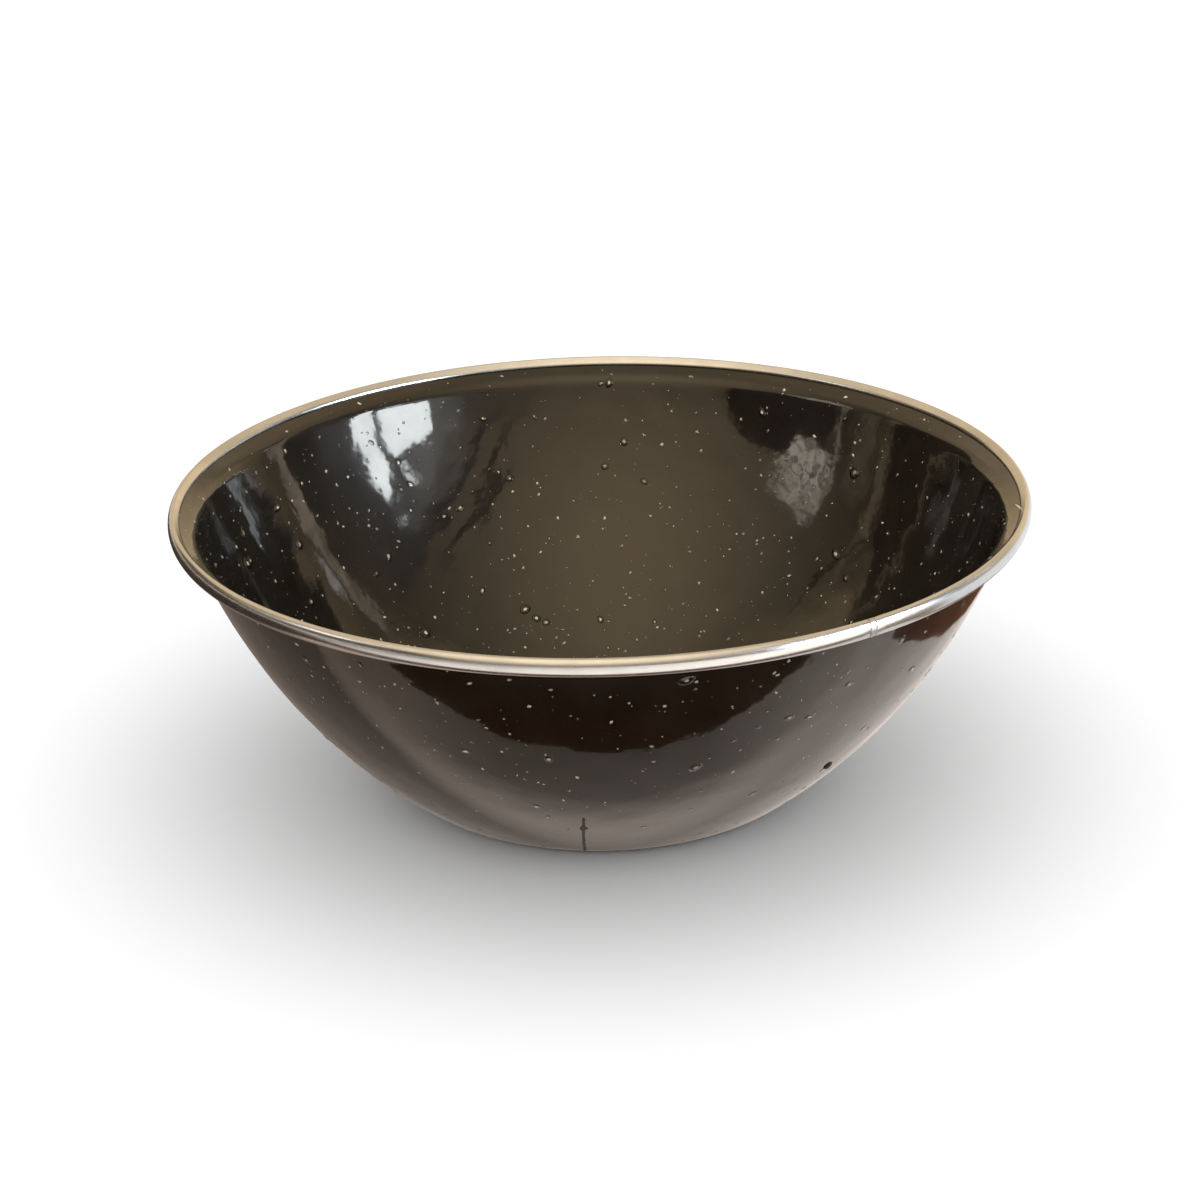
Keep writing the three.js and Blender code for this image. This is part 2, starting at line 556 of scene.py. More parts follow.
blackGlassMade = blackGlassFinish()
creamGrainMade = grainFinish("cream_grain", **creamGrain)
dimGrainMade = grainFinish("dim_grain", **dimGrain)
burntGlassMade = dullFinish("burnt_glass", **burntGlass)
groundGlassMade = dullFinish("ground_glass", **groundGlass)
pressedSteelMade = dullFinish("pressed_steel", **pressedSteel)
burrMade = dullFinish("torn_strip", **tornStrip)
bandMade = stripFinish("polished_strip", **stainless)
weldMade = stripFinish("weld_metal", **weldMetal)
print("finishes made")


def seat(piece, slot, *nodes):
    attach(piece, "root")
    if nodes:
        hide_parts(*nodes)


# the five layers of the wall
coverOutside = layerPiece("coverOutside", 0, outsideGround, blackGlassMade, "outside")
groundOutside = layerPiece("groundOutside", outsideGround, outsideSteel, groundGlassMade)
steelShell = layerPiece("steelShell", outsideSteel, insideSteel, pressedSteelMade)
groundInside = layerPiece("groundInside", insideSteel, insideGround, groundGlassMade)
coverInside = layerPiece("coverInside", insideGround, insideFace, blackGlassMade, "inside")
seat(coverOutside, "black_enamel", "enamel_outside")
seat(groundOutside, "ground_enamel", "ground_coat_outside")
seat(steelShell, "pressed_steel", "steel_shell")
seat(groundInside, "ground_enamel", "ground_coat_inside")
seat(coverInside, "black_enamel", "enamel_inside")
print("wall layers made")


# rolled strip, in millimetres; its inner side is pressed flat between two turns on the bead's oval
rimBand = {
    "curlSteps": 30,
    "bandSteps": 288,
    "weldSteps": 8,
    "edgeRound": 0.12,
    "edgeSteps": (0, 0.1, 0.35, 0.7, 1),
    "edgeLift": 0.05,
    "edgeWaves": 9,
    "grooveDepth": 0.03,
    "grooveWidth": 0.2,
    "grooveStep": 0.35,
    "beadWander": 0.012,
    "beadWaves": 5,
    "flatShare": 0.9,
    "flatStart": (math.radians(82), math.radians(106)),
    "flatEnd": math.radians(158),
}


# the turns on the bead's oval where its face, a given depth inside it, meets the two faces of the lip
def stripTurns(depth, lift):
    across = (halfBead.x - depth) * alongLip.y
    upright = (halfBead.y - depth) * alongLip.x
    lean = math.pi + math.atan2(across, upright)
    reach = math.hypot(across, upright)
    edge = lean - math.asin((lipInside + bowlForm["crimpClearance"] + lift) / reach)
    close = lean - math.asin((lipOutside - bowlForm["crimpClearance"]) / reach) - 2 * math.pi
    return edge, close


def ovalPoint(turn, inset):
    return Vector(((halfBead.x - inset) * math.cos(turn), (halfBead.y - inset) * math.sin(turn)))


# how far the crimp presses a point of the bead's inner side from its oval towards a straight slope
def crimpShift(turn):
    turn = min(turn, rimBand["flatEnd"])
    top = ovalPoint(math.pi / 2, 0)
    oval = ovalPoint(turn, 0)
    slope = ovalPoint(rimBand["flatEnd"], 0) - top
    along = (oval - top).dot(slope) / slope.length_squared
    share = rimBand["flatShare"] * smoothStep(*rimBand["flatStart"], turn)
    return (top + slope * along - oval) * share


def stripFace(depth, lift, steps, rounded):
    edge, close = stripTurns(depth, lift)
    length = (edge - close) * (halfBead.x + halfBead.y) / 2
    soft = rimBand["edgeRound"]
    nearEdge = [step * soft for step in rimBand["edgeSteps"]] if rounded else [0]
    ways = nearEdge + [soft + (length - 2 * soft) * i / steps for i in range(1, steps)]
    ways += [length - way for way in reversed(nearEdge)]
    points = []
    for way in ways:
        turn = edge + (close - edge) * way / length
        toEdge = max(0, soft - min(way, length - way)) if rounded else 0
        inset = depth + soft - math.sqrt(soft**2 - toEdge**2)
        points.append(beadCentre + ovalPoint(turn, inset) + crimpShift(turn))
    return points


def ringNoise(turn, waves, level):
    return noise.noise(Vector((math.cos(turn) * waves, math.sin(turn) * waves, level)))


def stripSection(turn, inset):
    wander = ringNoise(turn, rimBand["edgeWaves"], 2)
    swell = rimBand["beadWander"] * ringNoise(turn, rimBand["beadWaves"], 8)
    lift = rimBand["edgeLift"] * (1 + wander) / 2
    outer = stripFace(inset - swell, lift, rimBand["curlSteps"], True)
    inner = stripFace(bowlForm["bandThickness"], lift, rimBand["curlSteps"] // 2, False)
    return outer + inner[::-1]


# sweeps the strip's section from one turn to another, with a shallow groove at both ends
def stripPiece(name, start, end, steps, finish):
    groove = rimBand["grooveWidth"] / beadCentre.x
    step = groove * rimBand["grooveStep"]
    turns = [start, start + step, start + groove]
    turns += [start + groove + (end - start - 2 * groove) * i / steps for i in range(1, steps)]
    turns += [end - groove, end - step, end]
    points = []
    for turn in turns:
        near = min(turn - start, end - turn) / groove
        inset = rimBand["grooveDepth"] * (1 - smoothStep(0, 1, near))
        for p in stripSection(turn, inset):
            points.append((p.x * math.cos(turn) * mm, p.x * math.sin(turn) * mm, p.y * mm))
    size = len(points) // len(turns)
    faces = [tuple(range(size))]
    corners = [(0, 0)] * size
    section = stripSection(start, 0)
    along = [0]
    for a, b in zip(section, section[1:] + section[:1]):
        along.append(along[-1] + (b - a).length * mm)
    for k in range(len(turns) - 1):
        for i in range(size):
            j = (i + 1) % size
            faces.append((k * size + i, (k + 1) * size + i, (k + 1) * size + j, k * size + j))
            left, right = (t * beadCentre.x * mm for t in turns[k : k + 2])
            corners += [(left, along[i]), (right, along[i]), (right, along[i + 1]), (left, along[i + 1])]
    faces.append(tuple(reversed(range(len(points) - size, len(points)))))
    corners += [(0, 0)] * size
    piece = newPiece(name, points, faces, [finish])
    strip = piece.data.uv_layers.new(name="strip")
    strip.data.foreach_set("uv", [value for corner in corners for value in corner])
    piece.data.polygons[0].use_smooth = False
    piece.data.polygons[len(piece.data.polygons) - 1].use_smooth = False
    return piece


# a sliver of the strip that its trimming left standing at the inner edge, rooted inside the strip
bandBurr = {
    "turn": -9.0,
    "width": 1.1,
    "height": 1.0,
    "thickness": 0.2,
    "lean": 0.9,
    "taper": 0.85,
    "taperPower": 1.5,
    "rootStep": 3,
    "rootIn": 0.1,
    "rootDown": 0.15,
    "rows": 5,
}


def burrPiece():
    root = stripFace(0, 0, rimBand["curlSteps"], True)[bandBurr["rootStep"]]
    points, faces = [], []
    for k in range(bandBurr["rows"]):
        share = k / (bandBurr["rows"] - 1)
        taper = 1 - bandBurr["taper"] * share ** bandBurr["taperPower"]
        radius = root.x + bandBurr["rootIn"] - bandBurr["lean"] * share**2
        height = root.y - bandBurr["rootDown"] + bandBurr["height"] * share
        for side, through in ((-1, 0), (1, 0), (1, 1), (-1, 1)):
            turn = math.radians(bandBurr["turn"]) + side * taper * bandBurr["width"] / 2 / radius
            r = radius + through * bandBurr["thickness"] * taper
            points.append((r * math.cos(turn) * mm, r * math.sin(turn) * mm, height * mm))
    for k in range(bandBurr["rows"] - 1):
        for i in range(4):
            j = (i + 1) % 4
            faces.append((4 * k + i, 4 * k + 4 + i, 4 * k + 4 + j, 4 * k + j))
    faces.append((0, 1, 2, 3))
    faces.append((len(points) - 1, len(points) - 2, len(points) - 3, len(points) - 4))
    return newPiece("bandBurr", points, faces, [burrMade])


halfWeld = bowlForm["weldWidth"] / 2 / beadCentre.x
weldStart = bowlForm["weldAngle"] - halfWeld
weldEnd = bowlForm["weldAngle"] + halfWeld
rolledBand = stripPiece("rolledBand", weldEnd, weldStart + 2 * math.pi, rimBand["bandSteps"], bandMade)
bandWeld = stripPiece("bandWeld", weldStart, weldEnd, rimBand["weldSteps"], weldMade)
seat(rolledBand, "stainless_rim", "rim_band")
seat(bandWeld, "rim_weld", "rim_weld")
seat(burrPiece(), "stainless_rim")
print("rim made")


# grains of pale glass: most lie flush in the coat, some bulge under a skirt of black glass;
# each closes in a point inside the coat
speckle = {
    "inside": {"count": 3200, "towardsBase": 1.9, "seed": 11},
    "outside": {"count": 1900, "towardsBase": 0.75, "seed": 23},
    "radius": (0.07, 0.42),
    "smallness": 2.7,
    "stretch": (1.0, 1.8),
    "wobble": (0.6, 1.2),
    "sides": (6, 9),
    "moreSidesFrom": 0.14,
    "flush": 0.024,
    "rimStand": 0.013,
    "bulgeShare": 0.2,
    "bulge": 0.26,
    "shoulder": 0.75,
    "skirt": (2.0, 3.4),
    "skirtStand": 0.3,
    "skirtSunk": 0.004,
    "sunk": 0.09,
    "leastRadius": 1.5,
    "clearOfBand": 0.7,
    "even": 0.2,
}


# the share of the face's area that lies inside a grain: an even draw, bent towards the base or away from it
def areaShare(draw, towardsBase):
    even = speckle["even"]
    least = even**towardsBase
    return ((draw + even) ** towardsBase - least) / ((1 + even) ** towardsBase - least)


def specklePiece(name, face, finish, count, towardsBase, seed):
    pick = random.Random(seed)
    points, faces, finishIndex = [], [], []
    bandEdge = face.wayOfRadius(bandEdgeRadius - speckle["clearOfBand"])
    edgeArea = face.areas[bisect.bisect_right(face.ways, bandEdge) - 1]
    low, high = speckle["radius"]
    for _ in range(count):
        way = face.wayOfArea(edgeArea * areaShare(pick.random(), towardsBase))
        turn = 2 * math.pi * pick.random()
        core = low + (high - low) * pick.random() ** speckle["smallness"]
        sides = speckle["sides"][core >= speckle["moreSidesFrom"]]
        stretch = pick.uniform(*speckle["stretch"])
        lean = pick.uniform(0, math.pi)
        top = speckle["flush"]
        rings = [(1.0, speckle["rimStand"])]
        if pick.random() < speckle["bulgeShare"]:
            skirt = pick.uniform(*speckle["skirt"])
            top = max(top, speckle["bulge"] * core)
            rings = [
                (1.0, speckle["shoulder"] * top),
                ((1 + skirt) / 2, speckle["skirtStand"] * top),
                (skirt, -speckle["skirtSunk"]),
            ]
        wobble = [pick.uniform(*speckle["wobble"]) for _ in range(sides)]
        radius = face.row(way)[0]
        first = len(points)
        points.append(face.point(way, turn, top))
        for reach, stand in rings:
            for i in range(sides):
                spin = 2 * math.pi * i / sides
                rough = wobble[i] if reach == 1.0 else (wobble[i] + 2) / 3
                u = core * reach * rough * math.sqrt(stretch) * math.cos(spin)
                v = core * reach * rough / math.sqrt(stretch) * math.sin(spin)
                du = u * math.cos(lean) - v * math.sin(lean)
                dv = u * math.sin(lean) + v * math.cos(lean)
                toWay = min(max(way + du, 0), bandEdge)
                points.append(face.point(toWay, turn + dv / max(radius, speckle["leastRadius"]), stand))
        points.append(face.point(way, turn, -speckle["sunk"]))
        last = len(points) - 1
        for i in range(sides):
            j = (i + 1) % sides
            quads = [(first, first + 1 + i, first + 1 + j)]
            for k in range(len(rings) - 1):
                a, b = first + 1 + k * sides, first + 1 + (k + 1) * sides
                quads.append((a + i, b + i, b + j, a + j))
            a = first + 1 + (len(rings) - 1) * sides
            quads.append((a + i, last, a + j))
            if face.outside:
                quads = [tuple(reversed(q)) for q in quads]
            faces += quads
            finishIndex += [1] + [0] * (len(quads) - 1)
    return newPiece(name, points, faces, [blackGlassMade, finish], finishIndex)


insideGlass = GlassFace(insideFace, False)
outsideGlass = GlassFace(0, True)
grainsInside = specklePiece("grainsInside", insideGlass, creamGrainMade, **speckle["inside"])
grainsOutside = specklePiece("grainsOutside", outsideGlass, dimGrainMade, **speckle["outside"])
seat(grainsInside, "black_enamel")
seat(grainsOutside, "black_enamel")
print("speckle made")

# dull marks left by the firing on the outside: a run down to the base and a round spot
firingMarks = {
    "firingRun": {
        "turns": (-95.9, -94.2),
        "heights": (1.0, 14.6),
        "blobAt": 0.75,
        "width": 0.5,
        "blob": 1.5,
        "stand": 0.04,
    },
    "firingSpot": {
        "turns": (-44.6, -44.6),
        "heights": (15.5, 17.1),
        "blobAt": 0.5,
        "width": 1.2,
        "blob": 2.0,
        "stand": 0.42,
    },
}
markForm = {"spacing": 0.4, "leastSteps": 10, "side": 0.02, "keel": -0.06, "leastEnd": 0.02, "bend": 0.25}


# a thin scab along the face: a rounded ridge, wider at its blob, with a keel inside the coat
def markPiece(name, mark):
    face = outsideGlass
    low, high = (face.wayOfHeight(height) for height in mark["heights"])
    steps = max(markForm["leastSteps"], math.ceil((high - low) / markForm["spacing"]))
    section = [(side, markForm["side"] + mark["stand"] * (1 - side**2)) for side in (-1, -0.6, 0, 0.6, 1)]
    section.append((0, markForm["keel"]))
    size = len(section)
    points, faces = [], []
    for k in range(steps + 1):
        share = k / steps
        way = low + (high - low) * share
        toEnd = min(way - low, high - way) / (mark["blob"] / 2)
        toBlob = (share - mark["blobAt"]) * (high - low) / (mark["blob"] / 2)
        swell = mark["width"] + (mark["blob"] - mark["width"]) * math.exp(-(toBlob**2))
        ending = math.sqrt(max(markForm["leastEnd"], 1 - (1 - min(1, toEnd)) ** 2))
        bend = markForm["bend"] * noise.noise(Vector((way, 5, 1)))
        middle = math.radians(mark["turns"][0] + (mark["turns"][1] - mark["turns"][0]) * share)
        for side, stand in section:
            turn = middle + (bend + side * ending * swell / 2) / face.row(way)[0]
            points.append(face.point(way, turn, stand * ending if stand > 0 else stand))
    for k in range(steps):
        for i in range(size):
            j = (i + 1) % size
            a, b = size * k, size * (k + 1)
            faces.append((a + i, a + j, b + j, b + i))
    faces.append(tuple(reversed(range(size))))
    faces.append(tuple(range(size * steps, size * (steps + 1))))
    return newPiece(name, points, faces, [burntGlassMade])


for name, mark in firingMarks.items():
    seat(markPiece(name, mark), "black_enamel")
print("firing marks made")

# pale floor, in metres
paleFloor = {
    "size": 6.0,
    "cloudSize": 0.25,
    "light": (0.93, 0.93, 0.93),
    "dark": (0.9, 0.9, 0.9),
    "rough": 0.55,
}


def floorPiece():
    finish = Finish("pale_floor")
    cloud = finish.grain(finish.place(), paleFloor["cloudSize"], 3)
    colour = finish.mixColour(cloud, (*paleFloor["light"], 1), (*paleFloor["dark"], 1))
    made = finish.surface({"Base Color": colour, "Roughness": paleFloor["rough"], "Specular IOR Level": 0.0})
    half = paleFloor["size"] / 2
    corners = [(-half, -half, 0), (half, -half, 0), (half, half, 0), (-half, half, 0)]
    floor = newPiece("floor", corners, [(0, 1, 2, 3)], [made])


# for what only the gloss sees
def glossOnly(piece):
    piece.visible_camera = False
    piece.visible_diffuse = False
    piece.visible_shadow = False


# cards on the floor: low and high corners in metres, how bright they look on the left and on the right,
# and the span over which the one turns into the other
cards = {
    "sheetCard": {
        "low": (-0.105, -0.068),
        "high": (0.088, 0.4),
        "left": (0.62, 0.495, 0.415),
        "right": (1.02, 0.925, 0.86),
        "span": (-0.0735, 0.0792),
    },
    "frontCard": {
        "low": (-0.7, -0.098),
        "high": (0.105, -0.068),
        "left": (0.1, 0.035, 0.006),
        "right": (0.1, 0.035, 0.006),
        "span": (-0.5, 0.5),
    },
    "farCard": {
        "low": (-0.7, -0.9),
        "high": (0.7, -0.098),
        "left": (0.48, 0.44, 0.4),
        "right": (1.76, 1.63, 1.48),
        "span": (-0.24, 0.18),
    },
    "sideCard": {
        "low": (0.088, -0.035),
        "high": (0.105, 0.11),
        "left": (0.18, 0.07, 0.03),
        "right": (0.18, 0.07, 0.03),
        "span": (0.06, 0.18),
    },
    "rightCard": {
        "low": (0.105, -0.098),
        "high": (0.5, -0.03),
        "left": (0.3, 0.23, 0.17),
        "right": (0.5, 0.4, 0.31),
        "span": (0.12, 0.3),
    },
    "leftCard": {
        "low": (-0.7, -0.068),
        "high": (-0.105, 0.5),
        "left": (0.06, 0.04, 0.028),
        "right": (0.06, 0.04, 0.028),
        "span": (-0.5, -0.1),
    },
}


cardLift = 0.4 * mm  # clear of the floor


def glowFinish(finish, colour, share=None):
    glow = finish.node("ShaderNodeEmission", {}, {"Color": colour, "Strength": 1.0})
    if share:
        clear = finish.node("ShaderNodeBsdfTransparent")
        glow = finish.node("ShaderNodeMixShader", {}, {0: share, 1: clear, 2: glow})
    finish.node("ShaderNodeOutputMaterial", {}, {"Surface": glow})
    return finish.material


# how bright the sheet's glow is, with painted light and shade: a painted shadow of the bowl and the camera
# dims it in front of the bowl, a painted bright band runs along the bowl, then the painted shade under the
# bowl
sheetLightAndShade = {
    "front": (0.56, 1.0),
    "frontSpan": (0.025, 0.058),
    "brightBand": 1.15,
    "bandRise": (-0.053, -0.0455),
    "bandFall": (-0.0425, -0.037),
    "under": (0.44, 1.0),
    "underSpan": (0.0, 0.055),
}


# painted light and shade: the level that scales the sheet's glow
def sheetLightLevel(finish, across):
    aside = finish.node("ShaderNodeMath", {"operation": "ABSOLUTE"}, {0: across})
    front = finish.spread(aside, *sheetLightAndShade["front"], *sheetLightAndShade["frontSpan"])
    inwards = finish.node("ShaderNodeSeparateXYZ", {}, {0: finish.place()}, out="Y")
    rising = finish.spread(inwards, 0, 1, *sheetLightAndShade["bandRise"])
    falling = finish.spread(inwards, 0, 1, *sheetLightAndShade["bandFall"])
    level = front + rising * (sheetLightAndShade["brightBand"] - front)
    under = finish.spread(across, *sheetLightAndShade["under"], *sheetLightAndShade["underSpan"])
    return level - falling * (sheetLightAndShade["brightBand"] - under)


# painted light: the far card's glow, the floor in front, is brighter near the bowl
farFade = {"near": 1.35, "span": (-0.3, -0.12)}


def farLevel(finish):
    inwards = finish.node("ShaderNodeSeparateXYZ", {}, {0: finish.place()}, out="Y")
    return finish.spread(inwards, 1, farFade["near"], *farFade["span"])


def cardPieces():
    for name, card in cards.items():
        (x0, y0), (x1, y1) = card["low"], card["high"]
        finish = Finish(name)
        across = finish.node("ShaderNodeSeparateXYZ", {}, {0: finish.place()}, out="X")
        share = finish.spread(across, 0, 1, *card["span"])
        colour = finish.mixColour(share, (*card["left"], 1), (*card["right"], 1))
        # painted shadow, painted bright band and painted shade on the sheet's glow
        if name == "sheetCard":
            colour = finish.scaled(colour, sheetLightLevel(finish, across))
        # painted light: the far card glows brighter near the bowl
        if name == "farCard":
            colour = finish.scaled(colour, farLevel(finish))
        made = glowFinish(finish, colour)
        corners = [(x, y, cardLift) for x, y in ((x0, y0), (x1, y0), (x1, y1), (x0, y1))]
        piece = newPiece(name, corners, [(0, 1, 2, 3)], [made])
        glossOnly(piece)


# soft glow of a room round the bowl: warm, brightest high in front, dimmer low down
room = {
    "away": 1.5,
    "lowest": -1,
    "sides": 48,
    "rows": 16,
    "brightTurn": -12,
    "brightRise": 52,
    "tint": (1.22, 1.0, 0.7),
    "dim": 0.26,
    "bright": 1.08,
    "overhead": 0.4,
    "overheadFrom": 0.4,
    "lowShare": 0.45,
    "lowSpan": (0.0, 0.45),
    "brightest": 2.0,
    "back": (1.14, 0.87, 0.53),
    "backLeft": 0.8,
    "asideSpan": (-0.3, 0.3),
    "backSpan": (0.3, 0.7),
    "backUp": (0.35, 0.6),
}
bowlMiddle = Vector((0, 0, 0.04))


def wayOut(turn, rise):
    turn, rise = math.radians(turn), math.radians(rise)
    return Vector((math.sin(turn) * math.cos(rise), -math.cos(turn) * math.cos(rise), math.sin(rise)))


def roomPiece():
    finish = Finish("room_glow")
    out = finish.node("ShaderNodeVectorMath", {"operation": "NORMALIZE"}, {0: finish.place()})
    aside, inwards, up = (finish.node("ShaderNodeSeparateXYZ", {}, {0: out}, out=axis) for axis in "XYZ")
    towards = {0: out, 1: wayOut(room["brightTurn"], room["brightRise"])}
    near = finish.node("ShaderNodeVectorMath", {"operation": "DOT_PRODUCT"}, towards, out="Value")
    near = finish.spread(near, 0, 1)
    level = near * near * near * room["bright"] + room["dim"] + (up - room["overheadFrom"]) * room["overhead"]
    level = level * finish.spread(up, room["lowShare"], 1, *room["lowSpan"])
    tint = tuple(room["brightest"] * value for value in room["tint"])
    front = finish.mixColour(level * (1 / room["brightest"]), (0, 0, 0, 1), (*tint, 1))
    backGlow = finish.scaled(room["back"], finish.spread(aside, room["backLeft"], 1, *room["asideSpan"]))
    back = finish.spread(inwards, 0, 1, *room["backSpan"]) * finish.spread(up, 1, 0, *room["backUp"])
    made = glowFinish(finish, finish.mixColour(back, front, backGlow))
    sides, rows = room["sides"], room["rows"]
    points = []
    for k in range(rows):
        rise = room["lowest"] + (90 - room["lowest"]) * k / rows
        points += [room["away"] * wayOut(360 * i / sides, rise) for i in range(sides)]
    points.append(Vector((0, 0, room["away"])))
    faces = []
    for i in range(sides):
        j = (i + 1) % sides
        for k in range(rows - 1):
            faces.append((k * sides + i, k * sides + j, (k + 1) * sides + j, (k + 1) * sides + i))
        faces.append(((rows - 1) * sides + i, (rows - 1) * sides + j, len(points) - 1))
    piece = newPiece("room", points, faces, [made])
    piece.location = bowlMiddle
    glossOnly(piece)


# rows of an upright panel: its left and right turns at each rise
def upright(*rows):
    return [((left, rise), (right, rise)) for rise, left, right in rows]


# rows of a ribbon of a given width along a line of turns and rises
def ribbon(width, *line):
    rows = []
    for i, (turn, rise) in enumerate(line):
        before, after = Vector(line[max(i - 1, 0)]), Vector(line[min(i + 1, len(line) - 1)])
        across = (after - before).normalized() * width / 2
        rows.append(((turn - across.y, rise + across.x), (turn + across.y, rise - across.x)))
    return rows


# panels round the bowl: rows of what they span in degrees, how far they stand, the share of them that fades
# at each edge, the size of their patches, and how bright those patches look
panels = {
    "windowTall": {
        "rows": upright((3, 73, 83), (30, 76, 80.5)),
        "away": 1.0,
        "fade": 0.04,
        "patch": 0.09,
        "glow": (17.5, 19.8, 22.5),
        "dim": (14, 16, 18.4),
    },
    "windowWide": {
        "rows": upright((3, 47, 72), (24, 56, 72)),
        "away": 1.0,
        "fade": 0.04,
        "patch": 0.09,
        "glow": (17.5, 19.8, 22.5),
        "dim": (14, 16, 18.4),
    },
    "windowGlint": {
        "rows": upright((26, 66.5, 71), (29.5, 66, 70)),
        "away": 1.0,
        "fade": 0.15,
        "patch": 0.09,
        "glow": (17.5, 19.8, 22.5),
        "dim": (6, 7, 8),
    },
    "windowWall": {
        "rows": upright((0, 40, 100), (24, 50, 100), (38, 72, 100)),
        "away": 1.4,
        "fade": 0.12,
        "patch": 0.09,
        "glow": (0.4, 0.36, 0.31),
        "dim": (0.22, 0.19, 0.16),
    },
    "windowSheen": {
        "rows": upright((8, 40, 60), (24, 44, 66), (34, 58, 84)),
        "away": 1.2,
        "fade": 0.25,
        "patch": 0.09,
        "glow": (1.35, 1.33, 1.3),
        "dim": (0.95, 0.92, 0.88),
    },
    "backLeft": {
        "rows": upright(
            (20, -172, -114), (28, -172, -107), (38, -172, -99), (48, -172, -91), (66, -172, -84)
        ),
        "away": 1.45,
        "fade": 0.14,
        "patch": 0.3,
        "glow": (1.12, 0.87, 0.56),
        "dim": (0.95, 0.74, 0.48),
    },
    "backRight": {
        "rows": upright((27, 124, 172), (34, 108, 172), (45, 96, 172), (68, 84, 172)),
        "away": 1.45,
        "fade": 0.14,
        "patch": 0.3,
        "glow": (1.12, 0.87, 0.56),
        "dim": (0.95, 0.74, 0.48),
    },
    "nearFold": {
        "rows": ribbon(3.2, (28, 22), (39.7, 27), (48, 30.5), (55, 34), (67, 36.8), (88, 36)),
        "away": 1.1,
        "fade": 0.25,
        "patch": 0.04,
        "glow": (0.12, 0.08, 0.055),
        "dim": (0.06, 0.04, 0.03),
    },
    "farFold": {
        "rows": ribbon(
            2.8, (24, 22), (31.8, 30.4), (36.1, 34.6), (41.9, 38.4), (52.9, 41.6), (67, 43), (80, 42.8)
        ),
        "away": 1.1,
        "fade": 0.25,
        "patch": 0.04,
        "glow": (0.2, 0.15, 0.1),
        "dim": (0.06, 0.04, 0.03),
    },
    "leftPatch": {
        "rows": upright((21, -86, -66), (25, -86, -64), (31.5, -86, -62)),
        "away": 1.3,
        "fade": 0.12,
        "patch": 0.036,
        "glow": (5.4, 5.1, 4.8),
        "dim": (0.2, 0.17, 0.14),
    },
    "leftDark": {
        "rows": upright((3, -80, -36), (21, -80, -40), (27, -66, -44)),
        "away": 1.35,
        "fade": 0.06,
        "patch": 0.09,
        "glow": (0.14, 0.1, 0.07),
        "dim": (0.1, 0.065, 0.045),
    },
    "patchEdge": {
        "rows": ribbon(1.5, (-78.5, 8), (-82.4, 19), (-85.8, 23.5), (-86.3, 30)),
        "away": 1.25,
        "fade": 0.25,
        "patch": 0.018,
        "glow": (3.4, 3.1, 2.6),
        "dim": (0.5, 0.41, 0.31),
    },
    "thinStrip": {
        "rows": ribbon(6, (-97, 7), (-99, 13), (-102.5, 17), (-106.5, 21.5), (-106, 28), (-103, 40)),
        "away": 1.3,
        "fade": 0.25,
        "patch": 0.05,
        "glow": (1.05, 0.85, 0.57),
        "dim": (0.55, 0.44, 0.3),
    },
    "rightDark": {
        "rows": upright((0, -140, -95), (12, -140, -102), (18, -140, -107), (23, -140, -120)),
        "away": 1.4,
        "fade": 0.06,
        "patch": 0.09,
        "glow": (0.14, 0.1, 0.07),
        "dim": (0.08, 0.055, 0.035),
    },
    "sideStrip": {
        "rows": upright((1, 108, 114), (34, 109.5, 115)),
        "away": 1.3,
        "fade": 0.1,
        "patch": 0.09,
        "glow": (1.9, 1.65, 1.35),
        "dim": (0.9, 0.78, 0.62),
    },
    "stripGlint": {
        "rows": upright((17, 115, 118.5), (24, 115.5, 119)),
        "away": 1.25,
        "fade": 0.3,
        "patch": 0.05,
        "glow": (3.6, 3.7, 3.8),
        "dim": (1.6, 1.6, 1.6),
    },
    "wideStrip": {
        "rows": upright((7, -95, -83.5), (15, -97, -85), (23, -100, -88)),
        "away": 1.35,
        "fade": 0.22,
        "patch": 0.05,
        "glow": (0.95, 0.78, 0.55),
        "dim": (0.55, 0.45, 0.32),
    },
    "rightFold": {
        "rows": ribbon(
            1.8, (-109, 17), (-109, 21), (-106.5, 25), (-104, 29), (-102, 33), (-101.5, 38), (-103, 43)
        ),
        "away": 1.1,
        "fade": 0.25,
        "patch": 0.04,
        "glow": (0.22, 0.17, 0.12),
        "dim": (0.08, 0.06, 0.045),
    },
}


patchSpan = (0.35, 0.65)  # of the grain between dim and glow


# one inside a panel, falling to nothing over a share of its width at each edge
def edgeShare(finish, soft):
    edges = finish.node("ShaderNodeUVMap", {"uv_map": "edges"})
    share = 1.0
    for axis in ("X", "Y"):
        along = finish.node("ShaderNodeSeparateXYZ", {}, {0: edges}, out=axis)
        share = finish.spread(along, 0, 1, 0, soft) * finish.spread(along, 1, 0, 1 - soft, 1) * share
    return share


def panelPieces():
    for name, panel in panels.items():
        finish = Finish(name)
        patches = finish.spread(finish.grain(finish.place(), panel["patch"], 3), 0, 1, *patchSpan)
        colour = finish.mixColour(patches, (*panel["dim"], 1), (*panel["glow"], 1))
        made = glowFinish(finish, colour, edgeShare(finish, panel["fade"]))
        points, faces, corners = [], [], []
        steps = len(panel["rows"]) - 1
        for k, row in enumerate(panel["rows"]):
            points += [wayOut(*place) * panel["away"] for place in row]
            if k < steps:
                faces.append((2 * k, 2 * k + 1, 2 * k + 3, 2 * k + 2))
                corners += [0, k / steps, 1, k / steps, 1, (k + 1) / steps, 0, (k + 1) / steps]
        piece = newPiece(name, points, faces, [made])
        edges = piece.data.uv_layers.new(name="edges")
        edges.data.foreach_set("uv", corners)
        piece.location = bowlMiddle
        glossOnly(piece)


floorPiece()
cardPieces()
roomPiece()
panelPieces()

# one soft lamp overhead, square to the bowl: what it spans in degrees, and how bright it looks
softLamp = {"turn": 10, "rise": 80, "away": 1.3, "span": 90, "bright": 0.6}


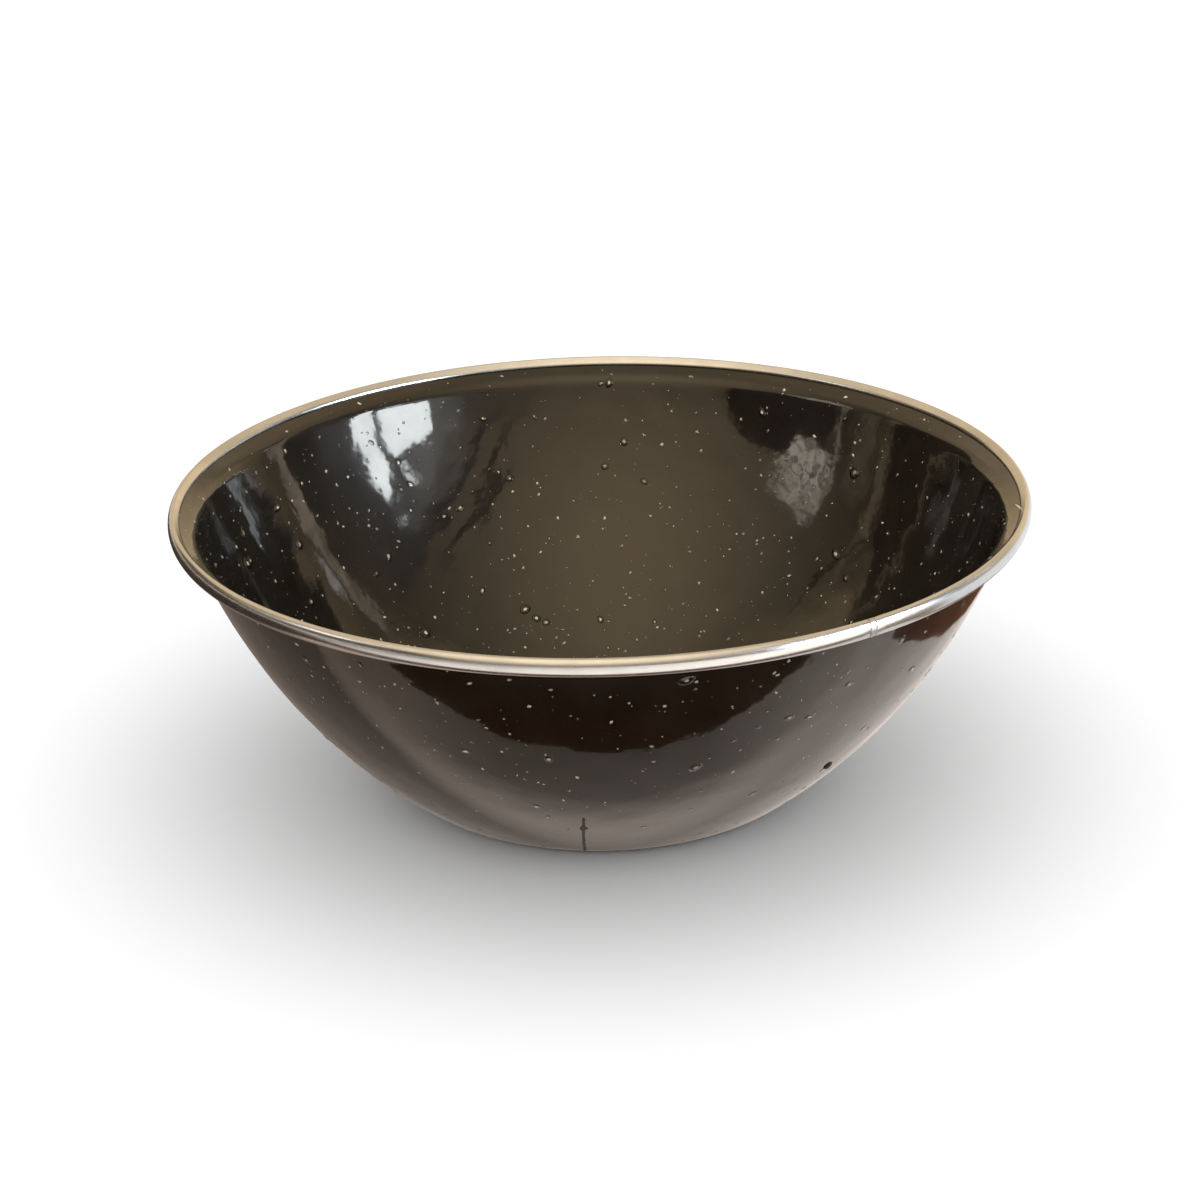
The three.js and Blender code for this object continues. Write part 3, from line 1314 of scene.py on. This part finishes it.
def lampPiece():
    data = bpy.data.lights.new("softLamp", "AREA")
    data.size = 2 * softLamp["away"] * math.tan(math.radians(softLamp["span"] / 2))
    data.energy = softLamp["bright"] * math.pi * data.size**2
    light = bpy.data.objects.new("softLamp", data)
    out = wayOut(softLamp["turn"], softLamp["rise"])
    light.location = bowlMiddle + out * softLamp["away"]
    light.rotation_mode = "QUATERNION"
    light.rotation_quaternion = (-out).to_track_quat("-Z", "Y")
    light.visible_camera = False
    light.visible_glossy = False
    bpy.context.collection.objects.link(light)


# white to the camera and in reflections, softer as light on the object
surroundings = {"seen": (1, 1, 1), "light": (0.95, 0.95, 0.95)}


def worldLight():
    world = bpy.data.worlds.new("studio")
    bpy.context.scene.world = world
    world.use_nodes = True
    finish = Finish("studio", world.node_tree)
    path = "ShaderNodeLightPath"
    seen = finish.node(path, out="Is Camera Ray") + finish.node(path, out="Is Glossy Ray")
    seen = seen + finish.node(path, out="Is Transmission Ray")
    share = finish.node("ShaderNodeClamp", {}, {"Value": seen})
    colour = finish.mixColour(share, (*surroundings["light"], 1), (*surroundings["seen"], 1))
    glow = finish.node("ShaderNodeBackground", {}, {"Color": colour, "Strength": 1.0})
    finish.node("ShaderNodeOutputWorld", {}, {"Surface": glow})


lampPiece()
worldLight()
print("studio made")

# the photograph's view: from the middle of the rim's top, millimetres and degrees
cameraView = {
    "away": 532,
    "rise": 20.477,
    "roll": -1.3126,
    "lens": 90.03,
    "sensor": 36,
    "aim": (-0.28, 0, -21.56),
    "clip": (0.01, 20),
}


def photoCamera():
    top = Vector((0, 0, bowlForm["height"]))
    place = top + wayOut(0, cameraView["rise"]) * cameraView["away"]
    ahead = (top + Vector(cameraView["aim"]) - place).normalized()
    right = ahead.cross(Vector((0, 0, 1))).normalized()
    up = right.cross(ahead)
    roll = math.radians(cameraView["roll"])
    sideways = right * math.cos(roll) + up * math.sin(roll)
    upright = up * math.cos(roll) - right * math.sin(roll)
    data = bpy.data.cameras.new("photoCamera")
    data.lens = cameraView["lens"]
    data.sensor_width = cameraView["sensor"]
    camera = bpy.data.objects.new("photoCamera", data)
    turn = Matrix((sideways, upright, -ahead)).transposed()
    camera.matrix_world = Matrix.Translation(place * mm) @ turn.to_4x4()
    data.clip_start, data.clip_end = cameraView["clip"]
    bpy.context.collection.objects.link(camera)
    bpy.context.scene.camera = camera


photoCamera()

bpy.context.view_layer.update()
